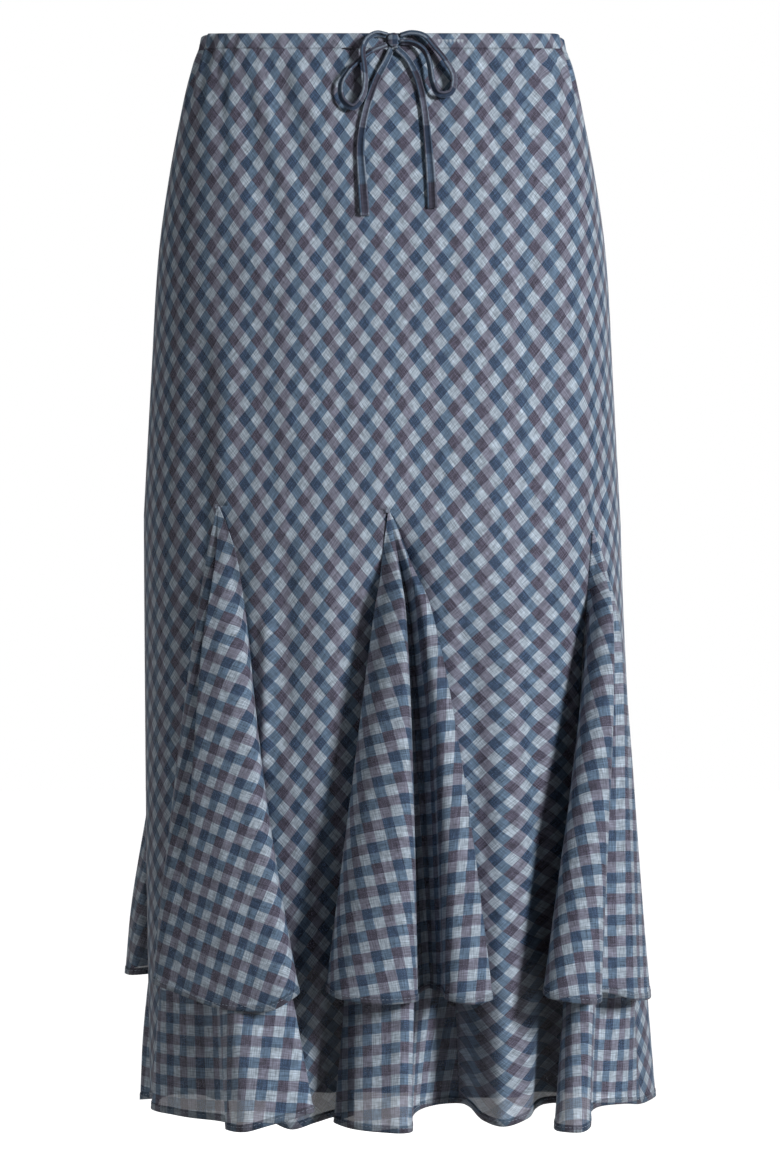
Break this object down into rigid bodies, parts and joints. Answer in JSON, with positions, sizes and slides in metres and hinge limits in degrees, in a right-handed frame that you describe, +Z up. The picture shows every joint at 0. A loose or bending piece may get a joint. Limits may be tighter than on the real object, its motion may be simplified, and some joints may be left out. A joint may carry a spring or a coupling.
{
  "type": "godet skirt",
  "caption": "Long slim skirt of sheer checked cloth with flared two-tier insets at the hem, a dark lining, a narrow gathered waist casing and a tied fabric bow.",
  "frame": {"origin": "centre of the waist opening, in the plane of the casing's middle height, where the skirt is held", "axes": "+Z up out of the waist opening, -Y towards the front with the bow, +X towards the viewer's right"},
  "size_m": [0.4325, 0.4005, 0.8458],
  "materials": {
    "printed_chiffon": "sheer matt crepe with a small printed check",
    "godet_chiffon": "sheer matt crepe with a small printed check, single layer",
    "lining_cloth": "plain dark woven lining, dull",
    "tie_cloth": "narrow bias tube of the printed cloth"
  },
  "bodies": {
    "root": {"front_panel": "printed_chiffon", "back_panel": "printed_chiffon", "waist_casing": "printed_chiffon", "lining": "lining_cloth", "tie_knot": "tie_cloth", "tie_loop_left": "tie_cloth", "tie_loop_right": "tie_cloth", "tie_end_left": "tie_cloth", "tie_end_right": "tie_cloth", "godet_left_upper": "godet_chiffon", "godet_left_lower": "godet_chiffon", "godet_centre_upper": "godet_chiffon", "godet_centre_lower": "godet_chiffon", "godet_right_upper": "godet_chiffon", "godet_right_lower": "godet_chiffon", "godet_back_right_upper": "godet_chiffon", "godet_back_right_lower": "godet_chiffon", "godet_back_upper": "godet_chiffon", "godet_back_lower": "godet_chiffon", "godet_back_left_upper": "godet_chiffon", "godet_back_left_lower": "godet_chiffon"}
  },
  "joints": []
}
